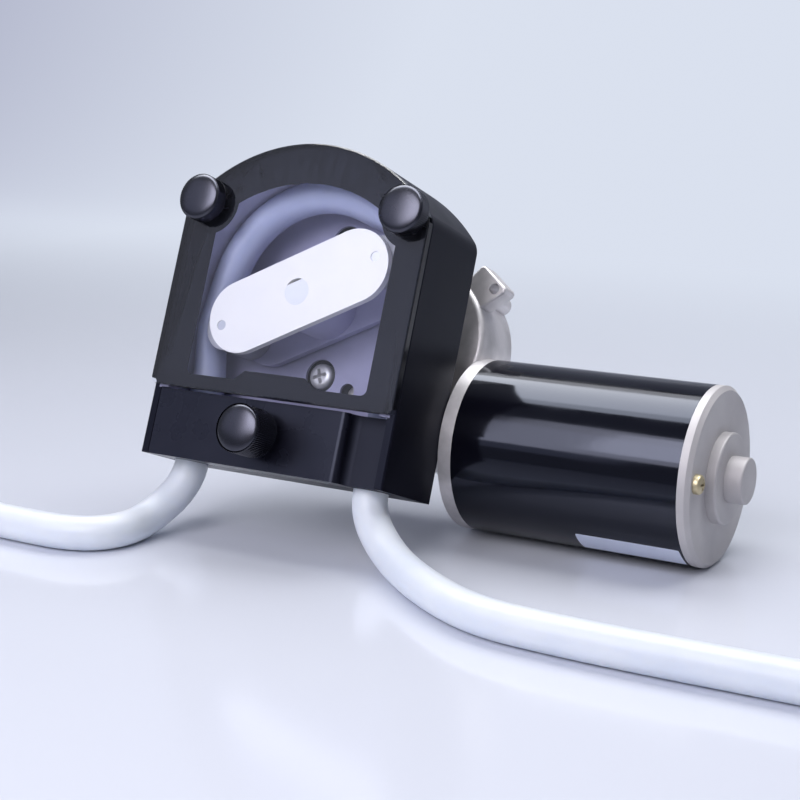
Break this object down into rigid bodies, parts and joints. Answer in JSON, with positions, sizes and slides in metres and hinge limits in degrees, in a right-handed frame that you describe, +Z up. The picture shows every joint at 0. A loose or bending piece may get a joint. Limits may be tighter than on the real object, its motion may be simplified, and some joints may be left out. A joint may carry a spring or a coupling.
{
  "type": "peristaltic pump head",
  "caption": "Peristaltic pump head with arched housing, clear front cover, two-roller rotor, squeezed hose and hose clamp, on a right-angle gearbox with a cylindrical motor.",
  "frame": {"origin": "centre of the bounding box's base, without the two hose ends, on the surface the pump lies on", "axes": "+X along the motor's axis, from the head towards the motor's end cap, +Y to the back of the pump, +Z up"},
  "size_m": [0.3655, 0.1473, 0.1436],
  "materials": {
    "black_anodised": "satin",
    "clear_acrylic": "gloss",
    "window_border": "satin",
    "knob": "satin",
    "steel": "satin",
    "rotor_plate": "satin",
    "hub_aluminium": "satin",
    "roller": "satin",
    "bronze": "satin",
    "hose": "satin",
    "gearbox_casting": "cast",
    "dark_cover": "satin",
    "motor_black": "gloss",
    "end_cap": "satin",
    "brass_screw": "satin",
    "core_steel": "matt",
    "copper": "gloss",
    "magnet": "matt",
    "moulding": "matt",
    "carbon": "matt"
  },
  "bodies": {
    "frame": {"pump_body": "black_anodised", "shaft_bush": "bronze", "join_screws": "steel", "gearbox_housing": "gearbox_casting", "gearbox_cover": "dark_cover", "gearbox_screws": "steel", "output_bearings": "steel", "bearing_spacer": "hub_aluminium", "gear_pin": "steel", "motor_bearings": "bronze", "brush_holder": "moulding", "brushes": "carbon", "magnets": "magnet", "motor_can": "motor_black", "motor_end_cap": "end_cap", "motor_bolts": "brass_screw", "hose_loop": "hose", "hose_tail_left": "hose", "hose_tail_right": "hose"},
    "cover": {"front_cover": "clear_acrylic", "cover_film": "window_border"},
    "knob_left": {"cover_knob_left": "knob", "cover_stud_left": "steel"},
    "knob_right": {"cover_knob_right": "knob", "cover_stud_right": "steel"},
    "clamp": {"hose_clamp": "black_anodised"},
    "clamp_screw": {"clamp_knob": "knob", "clamp_stud": "steel"},
    "rotor": {"output_shaft": "steel", "output_gear": "steel", "rotor_front_arm": "rotor_plate", "rotor_rear_arm": "rotor_plate", "rotor_hub": "hub_aluminium", "rotor_set_screw": "steel", "roller_pins": "steel"},
    "left_roller": {"roller_left": "roller", "roller_bushes_left": "bronze"},
    "right_roller": {"roller_right": "roller", "roller_bushes_right": "bronze"},
    "wheel": {"worm_wheel": "bronze", "pinion": "steel"},
    "armature": {"motor_shaft": "steel", "worm": "steel", "armature_core": "core_steel", "armature_windings": "copper", "commutator": "copper"}
  },
  "joints": [
    {"name": "armature_spin", "type": "hinge", "parent": "frame", "child": "armature", "pos_m": [0.04725, 0.02436, 0.03205], "axis": [1, 0, 0], "continuous": true},
    {"name": "rotor_spin", "type": "hinge", "parent": "frame", "child": "rotor", "pos_m": [-0.05275, -0.00704, 0.08674], "axis": [0, 0.9272, -0.3746], "continuous": true, "deforming": ["hose_loop"]},
    {"name": "wheel_spin", "type": "hinge", "parent": "frame", "child": "wheel", "pos_m": [-0.02825, 0.03707, 0.06353], "axis": [0, 0.9272, -0.3746], "continuous": true},
    {"name": "left_roller_spin", "type": "hinge", "parent": "rotor", "child": "left_roller", "pos_m": [-0.08278, -0.01277, 0.07256], "axis": [0, 0.9272, -0.3746], "continuous": true},
    {"name": "right_roller_spin", "type": "hinge", "parent": "rotor", "child": "right_roller", "pos_m": [-0.02272, -0.00131, 0.10093], "axis": [0, 0.9272, -0.3746], "continuous": true},
    {"name": "cover_lift", "type": "slide", "parent": "frame", "child": "cover", "axis": [0, -0.9272, 0.3746], "range_m": [0, 0.045]},
    {"name": "knob_left_unscrew", "type": "slide", "parent": "cover", "child": "knob_left", "axis": [0, -0.9272, 0.3746], "range_m": [0, 0.008]},
    {"name": "knob_right_unscrew", "type": "slide", "parent": "cover", "child": "knob_right", "axis": [0, -0.9272, 0.3746], "range_m": [0, 0.008]},
    {"name": "clamp_lift", "type": "slide", "parent": "frame", "child": "clamp", "axis": [0, -0.9272, 0.3746], "range_m": [0, 0.03]},
    {"name": "clamp_screw_unscrew", "type": "slide", "parent": "clamp", "child": "clamp_screw", "axis": [0, -0.9272, 0.3746], "range_m": [0, 0.008]}
  ],
  "couplings": [
    {"joint": "wheel_spin", "follows": "armature_spin", "ratio": 0.055556},
    {"joint": "rotor_spin", "follows": "armature_spin", "ratio": -0.026144},
    {"joint": "left_roller_spin", "follows": "armature_spin", "ratio": 0.12741},
    {"joint": "right_roller_spin", "follows": "armature_spin", "ratio": 0.12741}
  ]
}
